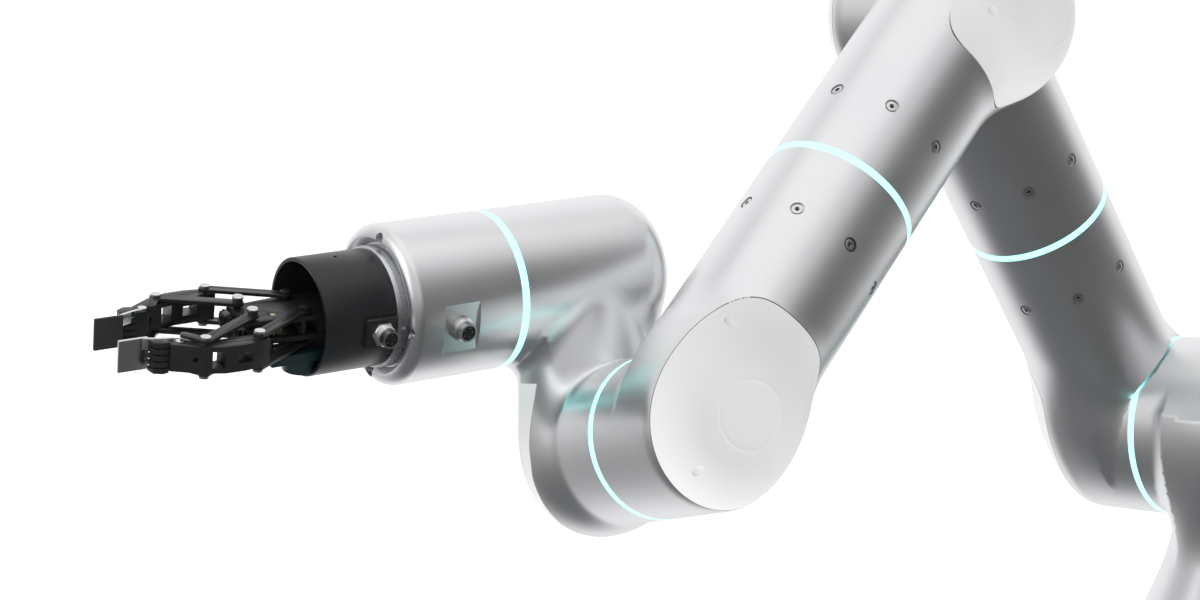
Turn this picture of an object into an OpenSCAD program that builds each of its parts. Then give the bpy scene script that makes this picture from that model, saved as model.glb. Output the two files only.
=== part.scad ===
// Seven-axis collaborative robot arm with a two-finger linkage gripper.
// The origin is the centre of the mounting face under the base, with +Z up along the first joint.
// Lengths are in millimetres and angles in degrees. The arm is drawn in its rest pose.

/* [Base] */
// Height of the first joint ring above the mounting face
base_h = 155; // [145:1:175]
// Radius of the bolt-down flange
flange_r = 95; // [92:1:105]
// Bolt circle diameter of the bolt-down flange
base_pcd = 170; // [166:1:172]
// Radius of the holes for the mounting bolts
base_hole_r = 4.5; // [4.2:0.1:5]

/* [Shoulder] */
// Radius of the base and shoulder modules
shoulder_r = 66; // [64:0.5:67]
// Height of the second joint axis above the first joint ring
j2_rise = 210; // [206:1:220]
// Sideways offset of the second joint ring from the first joint axis
j2_side = 30; // [28:1:32]

/* [Upper arm] */
// Radius of the upper arm modules
upper_r = 51.5; // [51:0.5:52]
// Sideways offset of the upper arm tube from the second joint ring
j3_side = 42; // [40:1:44]
// Distance of the third joint ring from the second joint axis
j3_rise = 203; // [198:1:215]
// Distance of the fourth joint axis from the third joint ring
j4_rise = 187; // [182:1:200]
// Sideways offset of the fourth joint ring from the upper arm tube
j4_side = 30; // [28:1:32]

/* [Forearm] */
// Radius of the forearm modules
forearm_r = 50; // [49.5:0.5:50.5]
// Offset of both elbow tubes from the elbow axis, across the arm
elbow_offset = 20; // [18:1:22]
// Sideways offset of the forearm tube from the fourth joint ring
j5_side = 25; // [24:1:27]
// Distance of the fifth joint ring from the fourth joint axis
j5_rise = 193; // [188:1:205]
// Sideways offset of the sixth joint ring from the forearm tube
j6_side = 26; // [25:1:28]
// Distance of the sixth joint axis from the fifth joint ring
j6_rise = 190; // [184:1:200]

/* [Wrist] */
// Radius of the wrist modules
wrist_r = 49; // [48.5:0.5:49.5]
// Radius of the tool module
tool_r = 48.5; // [48:0.5:49]
// Sideways offset of the tool axis from the sixth joint ring
j7_side = 75; // [75:1:78]
// Height of the tool axis above the sixth joint axis
j7_rise = 108; // [106:1:112]
// Distance of the seventh joint ring from the sixth joint axis
j7_reach = 56; // [54:1:60]
// Length of the tool module from its ring to its flange face
tool_len = 81; // [80:1:84]

/* [Rest pose] */
// Shoulder pitch at rest
q2 = -39; // [-45:1:0]
// Elbow pitch at rest
q4 = 96; // [60:1:100]
// Forearm roll at rest
q5 = 16; // [0:1:20]
// Wrist pitch at rest
q6 = 130; // [100:1:135]
// Tool roll at rest
q7 = -120; // [-130:1:-90]

/* [Gripper] */
// Outer radius of the gripper body
grip_r = 35; // [34.5:0.5:36]
// Length of the gripper body
grip_len = 45.5; // [44:0.5:48]
// Half of the distance between the two driver pivots, and the pitch radius of their gears
gear_r = 9.5; // [9.5:0.5:9.5]
// Half height of a finger
finger_h = 8; // [7.5:0.5:8]

/* [Hidden] */
$fn = 96;

wall = 4;             // thickness of the cast shells
ring_half = 2.3;      // half width of a light ring
child_start = 2.6;    // where the moving shell starts, past the middle of its ring
mate_gap = 1.5;       // radial room around the neighbouring joint barrel
shaft_r = 12;         // hollow shaft that each joint turns on
shaft_gap = 0.05;     // radial running clearance of that shaft
cable_r = 7;          // bore for the cables, through every joint
drive_len = 44;       // depth of a drive unit behind its ring
screw_back = 48;      // distance of the clamp screws from a joint ring
screw_count = 8;      // clamp screws around a tube
screw_r = 3.6;        // radius of a clamp screw head
silver = [0.80, 0.81, 0.82];
cap_white = [0.93, 0.93, 0.92];
seam_run = 14;        // how far a cap's seam turns outward at its rounded corner
seam_rise = 25;       // height of that corner
far_away = 300;       // longer than any module, for cutting

// ---- frames: each places its children in a link's own frame, at the rest pose ----

module at_link1() { translate([0, 0, base_h]) children(); }
module at_link2() { at_link1() translate([0, j2_side, j2_rise]) rotate([0, q2, 0]) children(); }
module at_link3() { at_link2() translate([0, j3_side, j3_rise]) children(); }
module at_elbow() { at_link3() translate([-elbow_offset, -j4_side, j4_rise]) children(); }
module at_link4() { at_elbow() rotate([0, 0, 180]) rotate([0, q4, 0]) children(); }
module at_j5() { at_link4() translate([-elbow_offset, j5_side, j5_rise]) children(); }
module at_link5() { at_j5() rotate([0, 0, 180]) rotate([0, 0, q5]) children(); }
module at_wrist() { at_link5() translate([0, j6_side, j6_rise]) children(); }
module at_link6() { at_wrist() rotate([0, q6, 0]) children(); }
module at_j7() { at_link6() translate([-j7_reach, j7_side, j7_rise]) rotate([0, -90, 0]) children(); }
module at_tool() { at_j7() rotate([0, 0, q7]) children(); }
module at_flange() { at_tool() translate([0, 0, tool_len]) children(); }

// ---- shapes shared by the modules ----

// A cylinder along +Y from y0 to y1.
module y_cylinder(r, y0, y1) {
  translate([0, y0, 0]) rotate([-90, 0, 0]) cylinder(r = r, h = y1 - y0);
}

// A cone frustum along +Y.
module y_cone(r0, r1, y0, y1) {
  translate([0, y0, 0]) rotate([-90, 0, 0]) cylinder(r1 = r0, r2 = r1, h = y1 - y0);
}

// A tube with a flat washer section.
module washer(r_out, r_in, h) {
  difference() {
    cylinder(r = r_out, h = h);
    translate([0, 0, -1]) cylinder(r = r_in, h = h + 2);
  }
}

// Solid form of an elbow: a barrel along +Y that starts at the joint ring, and a tube up +Z.
// inset shrinks the form, so the same module makes the hollow inside.
module elbow_form(barrel_r, tube_r, tube_x, tube_y, tube_len, crown, inset = 0) {
  edge = 15;
  foot = 8;
  start = inset > 0 ? -1 : 1;
  y_cylinder(barrel_r - inset, start, crown - edge - inset / 2);
  y_cone(barrel_r - inset, barrel_r - inset - edge, crown - edge - inset / 2, crown - inset);
  translate([tube_x, tube_y, foot + inset]) cylinder(r1 = tube_r - 24, r2 = tube_r - inset, h = 24 - inset);
  translate([tube_x, tube_y, foot + 24]) {
    cylinder(r = tube_r - inset, h = tube_len - foot - 24 + (inset > 0 ? 1 : 0));
  }
}

// Room for the neighbouring barrel, on the far side of the joint ring.
module mate_room(r, y_end, extra = 0) { y_cylinder(r + mate_gap + extra, -far_away / 2, y_end + extra); }

// Everything outward of a cap's seam: a flat face that turns outward over a rounded corner below seam_top.
module beyond_seam(seam_y, seam_top) {
  corner = [for (a = [0 : 15 : 90]) [seam_y + seam_run * (1 - cos(a)), seam_top - seam_rise * (1 - sin(a))]];
  translate([-far_away / 2, 0, 0]) rotate([90, 0, 90]) linear_extrude(height = far_away) {
    polygon(concat([[seam_y, -far_away]], corner, [[far_away, seam_top], [far_away, -far_away]]));
  }
}

// Everything past a tube's end face.
module beyond_tube(tube_len) {
  translate([-far_away / 2, -far_away / 2, tube_len]) cube([far_away, far_away, far_away / 2]);
}

// Hollow of an elbow, with a wall left around the neighbour's room.
module elbow_hollow(barrel_r, tube_r, tube_x, tube_y, tube_len, crown, mate_r, ring_y) {
  y_cylinder(barrel_r - wall, ring_y - 2, ring_y + 8);
  difference() {
    elbow_form(barrel_r, tube_r, tube_x, tube_y, tube_len, crown, wall);
    mate_room(mate_r, ring_y, wall);
  }
}

module elbow_shell(barrel_r, tube_r, tube_x, tube_y, tube_len, crown, mate_r, ring_y, seam_y, seam_top) {
  difference() {
    elbow_form(barrel_r, tube_r, tube_x, tube_y, tube_len, crown);
    mate_room(mate_r, ring_y);
    elbow_hollow(barrel_r, tube_r, tube_x, tube_y, tube_len, crown, mate_r, ring_y);
    beyond_seam(seam_y, seam_top);
    translate([tube_x, tube_y, tube_len - ring_half]) clamp_screw_pockets(tube_r);
    beyond_tube(tube_len - ring_half);
  }
}

module elbow_cap(barrel_r, tube_r, tube_x, tube_y, tube_len, crown, mate_r, ring_y, seam_y, seam_top) {
  difference() {
    intersection() {
      elbow_form(barrel_r, tube_r, tube_x, tube_y, tube_len, crown);
      beyond_seam(seam_y, seam_top);
    }
    elbow_hollow(barrel_r, tube_r, tube_x, tube_y, tube_len, crown, mate_r, ring_y);
  }
}

// Clamp screws in shallow pockets around the end of a tube whose end face is at z = 0.
module around_tube(tube_r, depth) {
  for (i = [0 : screw_count - 1]) {
    rotate([0, 0, i * 360 / screw_count]) translate([tube_r - depth, 0, ring_half - screw_back]) {
      rotate([0, 90, 0]) children();
    }
  }
}

module clamp_screw_pockets(tube_r) { around_tube(tube_r, 2.4) cylinder(r = screw_r, h = 10, $fn = 32); }

module clamp_screws(tube_r) {
  around_tube(tube_r, 2.4) difference() {
    cylinder(r = screw_r, h = 1.9, $fn = 32);
    translate([0, 0, 0.7]) cylinder(r = 1.9, h = 5, $fn = 6);
  }
}

// The glowing band of a joint; z = 0 is the middle of the band, +Z points to the moving side.
module light_ring(r) {
  color([0.85, 1, 0.98]) translate([0, 0, -ring_half]) washer(r, r - wall - 1.2, 2 * ring_half);
}

// Motor and strain-wave gear of a joint, bolted inside the fixed module behind the ring.
module drive_unit(r) {
  seat_r = r - wall;
  can_r = 0.74 * r;
  color([0.35, 0.36, 0.38]) difference() {
    union() {
      translate([0, 0, -12]) cylinder(r = seat_r, h = 6);
      translate([0, 0, -drive_len]) cylinder(r = can_r, h = drive_len - 9);
      translate([0, 0, -7]) cylinder(r = can_r, h = 7);
    }
    translate([0, 0, -drive_len - 1]) cylinder(r = shaft_r + shaft_gap, h = drive_len + 2);
    for (i = [0 : 7]) rotate([0, 0, 45 * i]) {
      translate([(seat_r + can_r) / 2, 0, -20]) cylinder(r = 1.6, h = 30, $fn = 24);
    }
    for (i = [0 : 11]) rotate([0, 0, 30 * i]) {
      translate([can_r + 0.8, 0, -34]) cube([3.4, 4, 24], center = true);
    }
  }
}

// Output flange and hollow shaft of a joint, bolted inside the moving module.
module output_unit(r) {
  seat_r = r - wall;
  hub_r = 0.6 * r;
  color([0.62, 0.63, 0.65]) difference() {
    union() {
      translate([0, 0, 6]) cylinder(r = seat_r, h = 6);
      translate([0, 0, 0.6]) cylinder(r = hub_r, h = 8);
      translate([0, 0, 2 - drive_len]) cylinder(r = shaft_r, h = drive_len);
    }
    translate([0, 0, -drive_len]) cylinder(r = cable_r, h = drive_len + 20);
    for (i = [0 : 7]) rotate([0, 0, 45 * i + 22.5]) {
      translate([(seat_r + hub_r) / 2, 0, 0]) cylinder(r = 1.8, h = 20, $fn = 24);
    }
  }
}

// Direction of each joint: +Z of these frames points to the moving side.
module at_joint1() { at_link1() children(); }
module at_joint2() { at_link2() rotate([-90, 0, 0]) children(); }
module at_joint3() { at_link3() children(); }
module at_joint4() { at_link4() rotate([-90, 0, 0]) children(); }
module at_joint5() { at_link5() children(); }
module at_joint6() { at_link6() rotate([-90, 0, 0]) children(); }
module at_joint7() { at_tool() children(); }

// ---- base ----

base_r = 74;          // radius of the base drum
drum_top = 42;        // height over which the drum narrows to the first ring

module base_form(inset = 0) {
  top = base_h - ring_half + (inset > 0 ? 1 : 0);
  translate([0, 0, -inset]) cylinder(r = base_r - inset, h = base_h - drum_top);
  translate([0, 0, base_h - drum_top - inset]) {
    cylinder(r1 = base_r - inset, r2 = shoulder_r - inset, h = 24);
  }
  translate([0, 0, base_h - drum_top + 22 - inset]) {
    cylinder(r = shoulder_r - inset, h = top - base_h + drum_top - 22 + inset);
  }
}

module panel_seat(grow = 0) {
  translate([base_r - 8, -34 - grow, 16 - grow]) cube([30, 68 + 2 * grow, 56 + 2 * grow]);
}

module base_casting() {
  color(silver) difference() {
    union() {
      base_form();
      cylinder(r = flange_r, h = 12);
      translate([0, 0, 12]) cylinder(r1 = flange_r - 5, r2 = base_r - 2, h = 10);
      panel_seat(3);
    }
    base_form(wall);
    translate([base_r + 8, -far_away / 2, -1]) cube([60, far_away, base_h]);
    translate([20, -28, 22]) cube([100, 56, 44]);
    translate([base_r + 5, 0, 0]) panel_recess();
    for (i = [0 : 3]) rotate([0, 0, 90 * i + 45]) {
      translate([base_pcd / 2, 0, -1]) cylinder(r = base_hole_r, h = 30);
      translate([base_pcd / 2, 0, 12]) cylinder(r = 8.5, h = 30);
    }
    translate([0, 0, -1]) cylinder(r = base_r - 2, h = 5);
  }
}

// The connector panel sits in a rectangular recess in the back of the base.
module panel_recess() { translate([0, -34, 16]) cube([10, 68, 56]); }

module base_plate() {
  color([0.3, 0.3, 0.32]) difference() {
    cylinder(r = base_r - 2, h = 4);
    for (i = [0 : 5]) rotate([0, 0, 60 * i]) translate([base_r - 9, 0, -1]) cylinder(r = 1.8, h = 8, $fn = 24);
    translate([0, 0, -1]) cylinder(r = 20, h = 8);
  }
}

connector_spots = [[-18, 56], [18, 56], [-18, 32], [18, 32]];

module connector_panel() {
  color([0.16, 0.16, 0.17]) difference() {
    translate([base_r + 5, -33.8, 16.2]) cube([2.6, 67.6, 55.6]);
    for (s = connector_spots) translate([base_r, s[0], s[1]]) rotate([0, 90, 0]) cylinder(r = 6.5, h = 20);
    for (y = [-29, 29], z = [21, 67]) {
      translate([base_r, y, z]) rotate([0, 90, 0]) cylinder(r = 1.6, h = 20, $fn = 24);
    }
  }
}

module base_connectors() {
  color([0.72, 0.73, 0.74]) for (s = connector_spots) translate([base_r + 0.5, s[0], s[1]]) {
    rotate([0, 90, 0]) difference() {
      union() {
        cylinder(r = 6.5, h = 8);
        translate([0, 0, 7.1]) cylinder(r = 8.6, h = 3, $fn = 6);
        cylinder(r = 6.3, h = 14.5);
      }
      translate([0, 0, 4]) cylinder(r = 4.6, h = 20);
    }
  }
}

module j1_light_ring() { at_joint1() light_ring(shoulder_r); }
module j1_drive() { at_joint1() drive_unit(shoulder_r); }
module j1_output() { at_joint1() output_unit(shoulder_r); }

// ---- link 1: shoulder ----

shoulder_crown = 98;
shoulder_seam = 80;
shoulder_top = 300;

// Column that narrows from the first ring towards the shoulder barrel.
module shoulder_column(inset = 0) {
  hull() {
    translate([0, 0, 22]) cylinder(r = shoulder_r - inset, h = 1, $fn = 48);
    translate([0, -20, j2_rise - 62]) cylinder(r = 46 - inset, h = 1, $fn = 48);
  }
  translate([0, 0, inset > 0 ? -1 : child_start]) {
    cylinder(r = shoulder_r - inset, h = 22.5 + (inset > 0 ? 1 : 0) - child_start);
  }
  translate([0, -20, j2_rise - 61.5]) cylinder(r = 46 - inset, h = 50);
}

module shoulder_barrel(inset = 0) {
  translate([0, j2_side, j2_rise]) rotate([180, 0, 0]) {
    y_cylinder(shoulder_r - inset, inset > 0 ? -1 : 1, shoulder_crown - 15 - inset / 2);
    y_cone(shoulder_r - inset, shoulder_r - inset - 15, shoulder_crown - 15 - inset / 2, shoulder_crown - inset);
  }
}

module at_shoulder_barrel() { translate([0, j2_side, j2_rise]) rotate([180, 0, 0]) children(); }

module shoulder_shell() {
  color(silver) at_link1() difference() {
    union() {
      shoulder_column();
      shoulder_barrel();
    }
    at_shoulder_barrel() mate_room(shoulder_r, ring_half);
    shoulder_barrel(wall);
    difference() {
      shoulder_column(wall);
      at_shoulder_barrel() mate_room(shoulder_r, ring_half, wall);
    }
    at_shoulder_barrel() beyond_seam(shoulder_seam, shoulder_top);
  }
}

module shoulder_cap() {
  color(cap_white) at_link1() difference() {
    intersection() {
      shoulder_barrel();
      at_shoulder_barrel() beyond_seam(shoulder_seam, shoulder_top);
    }
    shoulder_barrel(wall);
  }
}

module j2_light_ring() { at_joint2() light_ring(shoulder_r); }
module j2_drive() { at_joint2() drive_unit(shoulder_r); }
module j2_output() { at_joint2() output_unit(shoulder_r); }

// ---- link 2: lower half of the upper arm ----

module lower_upper_arm(part) {
  crown = 82;
  if (part == "shell") {
    elbow_shell(shoulder_r, upper_r, 0, j3_side, j3_rise, crown, shoulder_r, child_start, 67, 84);
  } else {
    elbow_cap(shoulder_r, upper_r, 0, j3_side, j3_rise, crown, shoulder_r, child_start, 67, 84);
  }
}

module upper_arm_lower_shell() { color(silver) at_link2() lower_upper_arm("shell"); }
module upper_arm_lower_cap() { color(cap_white) at_link2() lower_upper_arm("cap"); }

module upper_arm_lower_screws() {
  color("silver") at_link3() translate([0, 0, -ring_half]) clamp_screws(upper_r);
}

module j3_light_ring() { at_joint3() light_ring(upper_r); }
module j3_drive() { at_joint3() drive_unit(upper_r); }
module j3_output() { at_joint3() output_unit(upper_r); }

// ---- link 3: upper half of the upper arm, which ends at the elbow ----

module upper_upper_arm(part) {
  crown = 82;
  tube_x = -elbow_offset;
  tube_end = j4_rise + ring_half - child_start;
  at_elbow() rotate([0, 180, 0]) {
    if (part == "shell") {
      elbow_shell(upper_r, upper_r, tube_x, j4_side, tube_end, crown, upper_r, ring_half, 67, 78);
    } else {
      elbow_cap(upper_r, upper_r, tube_x, j4_side, tube_end, crown, upper_r, ring_half, 67, 78);
    }
  }
}

module upper_arm_upper_shell() { color(silver) upper_upper_arm("shell"); }
module upper_arm_upper_cap() { color(cap_white) upper_upper_arm("cap"); }

module upper_arm_upper_screws() {
  color("silver") at_elbow() rotate([0, 180, 0]) {
    translate([-elbow_offset, j4_side, j4_rise - child_start]) clamp_screws(upper_r);
  }
}

module j4_light_ring() { at_joint4() light_ring(upper_r); }
module j4_drive() { at_joint4() drive_unit(upper_r); }
module j4_output() { at_joint4() output_unit(upper_r); }

// ---- link 4: first half of the forearm, from the elbow ----

module lower_forearm(part) {
  crown = 70;
  tube_x = -elbow_offset;
  if (part == "shell") {
    elbow_shell(upper_r, forearm_r, tube_x, j5_side, j5_rise, crown, upper_r, child_start, 58, 78);
  } else {
    elbow_cap(upper_r, forearm_r, tube_x, j5_side, j5_rise, crown, upper_r, child_start, 58, 78);
  }
}

module forearm_lower_shell() { color(silver) at_link4() lower_forearm("shell"); }
module forearm_lower_cap() { color(cap_white) at_link4() lower_forearm("cap"); }

module forearm_lower_screws() {
  color("silver") at_j5() translate([0, 0, -ring_half]) clamp_screws(forearm_r);
}

module j5_light_ring() { at_joint5() light_ring(forearm_r); }
module j5_drive() { at_joint5() drive_unit(forearm_r); }
module j5_output() { at_joint5() output_unit(forearm_r); }

// ---- link 5: second half of the forearm, which ends at the wrist ----

module upper_forearm(part) {
  crown = 80;
  tube_end = j6_rise + ring_half - child_start;
  at_wrist() rotate([180, 0, 0]) {
    if (part == "shell") {
      elbow_shell(wrist_r, forearm_r, 0, j6_side, tube_end, crown, wrist_r, ring_half, 61.5, 77.5);
    } else {
      elbow_cap(wrist_r, forearm_r, 0, j6_side, tube_end, crown, wrist_r, ring_half, 61.5, 77.5);
    }
  }
}

module forearm_upper_shell() { color(silver) upper_forearm("shell"); }
module forearm_upper_cap() { color(cap_white) upper_forearm("cap"); }

module forearm_upper_screws() {
  color("silver") at_wrist() rotate([180, 0, 0]) {
    translate([0, j6_side, j6_rise - child_start]) clamp_screws(forearm_r);
  }
}

module j6_light_ring() { at_joint6() light_ring(wrist_r); }
module j6_drive() { at_joint6() drive_unit(wrist_r); }
module j6_output() { at_joint6() output_unit(wrist_r); }

// ---- link 6: wrist ----

wrist_crown = 84;
wrist_seam = 62;
wrist_back = 60;      // how far the tool barrel reaches behind the sixth axis
neck_r = 40;          // neck between the two barrels
neck_y = 38;          // where the neck leaves the wrist barrel

module wrist_form(inset = 0) {
  y_cylinder(wrist_r - inset, inset > 0 ? -1 : child_start, wrist_crown - 9 - inset / 2);
  y_cone(wrist_r - inset, wrist_r - inset - 9, wrist_crown - 9 - inset / 2, wrist_crown - inset);
  lean = atan2(j7_side - neck_y, j7_rise);
  translate([0, neck_y, 0]) rotate([-lean, 0, 0]) {
    cylinder(r = neck_r - inset, h = norm([j7_side - neck_y, j7_rise]));
  }
  translate([0, j7_side, j7_rise]) rotate([0, -90, 0]) {
    translate([0, 0, 16 - wrist_back]) {
      cylinder(r = tool_r - inset, h = wrist_back - 16 + j7_reach - ring_half + (inset > 0 ? 3 : 0));
    }
    translate([0, 0, inset - wrist_back]) {
      cylinder(r1 = tool_r - 16, r2 = tool_r - inset, h = 16 - inset);
    }
  }
}

module wrist_seam_side() {
  translate([0, wrist_seam, 0]) rotate([9, 0, 0]) {
    translate([-far_away / 2, 0, -far_away / 2]) cube([far_away, far_away / 2, far_away / 2 + 46]);
  }
}

// Room around the wrist barrel for the forearm that it swings past.
module forearm_room(extra = 0) {
  difference() {
    y_cylinder(far_away, -far_away, j7_side - tool_r - 0.6 + extra);
    y_cylinder(wrist_r + 0.4 - extra, -far_away - 1, j7_side);
  }
}

module wrist_shell() {
  color(silver) at_link6() difference() {
    wrist_form();
    forearm_room();
    difference() {
      wrist_form(wall);
      forearm_room(wall);
    }
    wrist_cap_room();
  }
}

// The cap covers the outer end of the wrist barrel.
module wrist_cap_room() {
  intersection() {
    y_cylinder(wrist_r + 0.5, 40, wrist_crown + 5);
    wrist_seam_side();
  }
}

module wrist_cap() {
  color(cap_white) at_link6() difference() {
    intersection() {
      union() {
        y_cylinder(wrist_r, 40, wrist_crown - 9);
        y_cone(wrist_r, wrist_r - 9, wrist_crown - 9, wrist_crown);
      }
      wrist_seam_side();
    }
    wrist_form(wall);
  }
}

module j7_light_ring() { at_joint7() light_ring(tool_r); }
module j7_drive() { at_joint7() drive_unit(tool_r); }
module j7_output() { at_joint7() output_unit(tool_r); }

// ---- link 7: tool module ----

flange_plate_r = 36.5;    // tool flange with a 50 mm bolt circle
flange_plate_h = 10;
rim_top = 76.5;           // height of the rounded rim around the flange
rim_edge = 7;
rim_floor = 71;           // bottom of the groove between rim and flange
rim_screw_r = 42;         // radius of the circle of the rim screws

module tool_form() {
  translate([0, 0, child_start]) cylinder(r = tool_r, h = rim_top - rim_edge - child_start);
  translate([0, 0, rim_top - rim_edge]) cylinder(r1 = tool_r, r2 = tool_r - rim_edge, h = rim_edge);
}

connector_z = 44;         // middle of the tool connector's flat, from the ring

module tool_housing() {
  color(silver) at_tool() difference() {
    tool_form();
    cylinder(r = tool_r - wall, h = rim_floor - 5);
    translate([tool_r - 2.4, -15, connector_z - 12]) cube([10, 30, 24]);
    translate([tool_r - 20, 0, connector_z]) rotate([0, 90, 0]) cylinder(r = 5.9, h = 30);
    translate([0, 0, rim_floor - 10]) cylinder(r = 24, h = 20);
    translate([0, 0, rim_floor]) cylinder(r1 = flange_plate_r + 0.8, r2 = tool_r - rim_edge - 0.6, h = 8);
    rim_screw_seats(rim_floor - 1, screw_r + 0.1, 20);
  }
}

module rim_screw_seats(z, r, h) {
  for (i = [0 : 3]) rotate([0, 0, 90 * i]) translate([rim_screw_r, 0, z]) cylinder(r = r, h = h, $fn = 32);
}

module tool_flange() {
  color([0.7, 0.71, 0.72]) at_tool() translate([0, 0, tool_len - flange_plate_h]) difference() {
    union() {
      cylinder(r = flange_plate_r, h = flange_plate_h);
      translate([0, 0, -8]) cylinder(r = 23.9, h = 9);
    }
    translate([0, 0, -10]) cylinder(r = cable_r, h = 30);
    for (i = [0 : 3]) rotate([0, 0, 90 * i + 45]) {
      translate([25, 0, flange_plate_h - 8]) cylinder(r = 2.5, h = 10, $fn = 24);
    }
  }
}

module tool_screws() {
  color("silver") at_tool() difference() {
    rim_screw_seats(rim_floor - 1, screw_r, 3.4);
    for (i = [0 : 3]) rotate([0, 0, 90 * i]) {
      translate([rim_screw_r, 0, rim_floor + 1]) cylinder(r = 1.9, h = 5, $fn = 6);
    }
  }
}

module tool_connector() {
  color([0.75, 0.76, 0.77]) at_tool() translate([tool_r - 2.4, 0, connector_z]) rotate([0, 90, 0]) {
    difference() {
      union() {
        translate([0, 0, -6]) cylinder(r = 5.9, h = 10);
        cylinder(r = 8, h = 2, $fn = 6);
      }
      translate([0, 0, 0]) cylinder(r = 4.4, h = 10);
    }
  }
}

// ---- gripper ----
// Its frame has +Z along the tool axis, +X towards the near finger, and Y along the pins.
// A plan is an outline in the plane of the linkage, with its points given as [x, z].

grip_wall = 2.5;
mouth = grip_len;             // distance of the open mouth from the flange face
drive_pivot = [gear_r, mouth + 35];
follow_pivot = [12, mouth + 3];
link_run = [23.1, 40.4];      // from a ground pivot to its finger pivot
drive_tip = drive_pivot + link_run;
follow_tip = follow_pivot + link_run;
driver_nose = [22, mouth + 83];
rivet_spot = [25, mouth + 87];
link_half = 3.6;              // half width of a link bar
link_y = finger_h + 0.8;      // where a link bar starts, above the finger
link_t = 2;
link_top = link_y + link_t;
pin_r = 1.9;
pin_gap = 0.05;
open_pivot_gap = 0.1;         // radial clearance at the pivot that closes the linkage
head_r = 3;
head_gap = 0.2;
gear_half = 3.4;              // half thickness of the gears
palm_y = 4.4;                 // inner face of a palm plate
palm_t = 3;
palm_half = 16;
teeth = 19;
pinion_teeth = 10;
gear_module = 2 * gear_r / teeth;
pinion_r = gear_module * pinion_teeth / 2;
pinion_angle = -100;          // direction of the pinion from the near driver's gear
pinion_spot = drive_pivot + (gear_r + pinion_r) * [cos(pinion_angle), sin(pinion_angle)];
pinion_phase = pinion_angle + 180 + 180 / pinion_teeth + pinion_angle * teeth / pinion_teeth;
pinion_shaft_r = 1.5;
black = [0.12, 0.12, 0.13];

// Raises a plan from y0 along the pins.
module plate(y0, h) {
  translate([0, y0 + h, 0]) rotate([90, 0, 0]) linear_extrude(height = h) children();
}

// The same plan on both sides of the finger.
module both_sides(y0, h) {
  plate(y0, h) children();
  plate(-y0 - h, h) children();
}

// A pin along Y at a point of the plan.
module pin(spot, r, y0, y1) { translate([spot[0], 0, spot[1]]) y_cylinder(r, y0, y1); }

// A pin with a head on both sides.
module headed_pin(spot, y_head, head_h) {
  pin(spot, pin_r, -y_head, y_head);
  pin(spot, head_r, y_head, y_head + head_h);
  pin(spot, head_r, -y_head - head_h, -y_head);
}

// A straight bar with round ends.
module bar(a, b, half) {
  run = b - a;
  translate(a) rotate([0, 0, atan2(run[1], run[0])]) translate([0, -half + 0.02]) {
    square([norm(run), 2 * half - 0.04]);
  }
  translate(a) circle(r = half, $fn = 48);
  translate(b) circle(r = half, $fn = 48);
}

// Spur gear outline with straight-sided teeth.
module gear_outline(n, phase) {
  pitch = gear_module * n / 2;
  root = pitch - 1.25 * gear_module;
  tip = pitch + 0.8 * gear_module;
  quarter = 90 / n;
  circle(r = root + 0.01, $fn = 60);
  for (i = [0 : n - 1]) rotate([0, 0, phase + i * 360 / n]) {
    polygon([
      [root - 0.4, -root * sin(1.25 * quarter)], [root, -root * sin(1.25 * quarter)],
      [pitch, -pitch * sin(0.82 * quarter)], [tip, -tip * sin(0.32 * quarter)],
      [tip, tip * sin(0.32 * quarter)], [pitch, pitch * sin(0.82 * quarter)],
      [root, root * sin(1.25 * quarter)], [root - 0.4, root * sin(1.25 * quarter)]
    ]);
  }
}

module gripper_body() {
  color(black) at_flange() difference() {
    cylinder(r = grip_r, h = grip_len);
    translate([0, 0, 5]) cylinder(r = grip_r - grip_wall, h = grip_len);
    translate([0, 0, -1]) cylinder(r = cable_r, h = 10);
    for (i = [0 : 3]) rotate([0, 0, 90 * i + 45]) {
      translate([25, 0, -1]) cylinder(r = 3.1, h = 10, $fn = 32);
    }
    translate([0, grip_r - 8, 24]) rotate([-90, 0, 0]) cylinder(r = 1, h = 12, $fn = 24);
  }
}

module gripper_connector() {
  seat = 11;          // middle of the connector, from the flange face
  color([0.5, 0.5, 0.52]) at_flange() translate([0, 0, seat]) {
    difference() {
      union() {
        translate([grip_r - 2.4, -9, -10]) cube([5.4, 18, 20]);
        translate([grip_r + 2, 0, 0]) rotate([0, 90, 0]) {
          cylinder(r = 8, h = 7, $fn = 6);
          cylinder(r = 5, h = 12);
        }
      }
      translate([0, 0, -11]) cylinder(r = grip_r, h = 22);
      translate([grip_r + 6, 0, 0]) rotate([0, 90, 0]) cylinder(r = 3.9, h = 20);
    }
  }
}

module palm_plan() {
  front = drive_pivot[1] + 4.5;
  difference() {
    polygon([
      [-palm_half, 5], [palm_half, 5], [palm_half, follow_pivot[1] + 5], [gear_r + 4.5, drive_pivot[1] - 8],
      [gear_r + 4.5, front], [-gear_r - 4.5, front], [-gear_r - 4.5, drive_pivot[1] - 8],
      [-palm_half, follow_pivot[1] + 5]
    ]);
    for (x = [-1, 1]) translate([x * drive_pivot[0], drive_pivot[1]]) circle(r = pin_r + pin_gap);
    translate(pinion_spot) circle(r = pinion_shaft_r + pin_gap);
  }
}

// Frame of the linkage: two plates on a block, with the pins of the two followers.
module gripper_palm() {
  block_end = 40;
  color([0.45, 0.46, 0.48]) at_flange() {
    both_sides(palm_y, palm_t) palm_plan();
    translate([-palm_half + 1, -palm_y - 1, 5]) cube([2 * palm_half - 2, 2 * palm_y + 2, block_end - 5]);
    translate([3, -motor_top, 20]) cube([palm_half - 3, motor_top - palm_y - 1, block_end - 20]);
    for (x = [-1, 1]) headed_pin([x * follow_pivot[0], follow_pivot[1]], link_top + head_gap, 1.4);
  }
}

motor_top = 13.4;       // the motor's gearbox starts this far below the middle of the linkage

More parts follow.
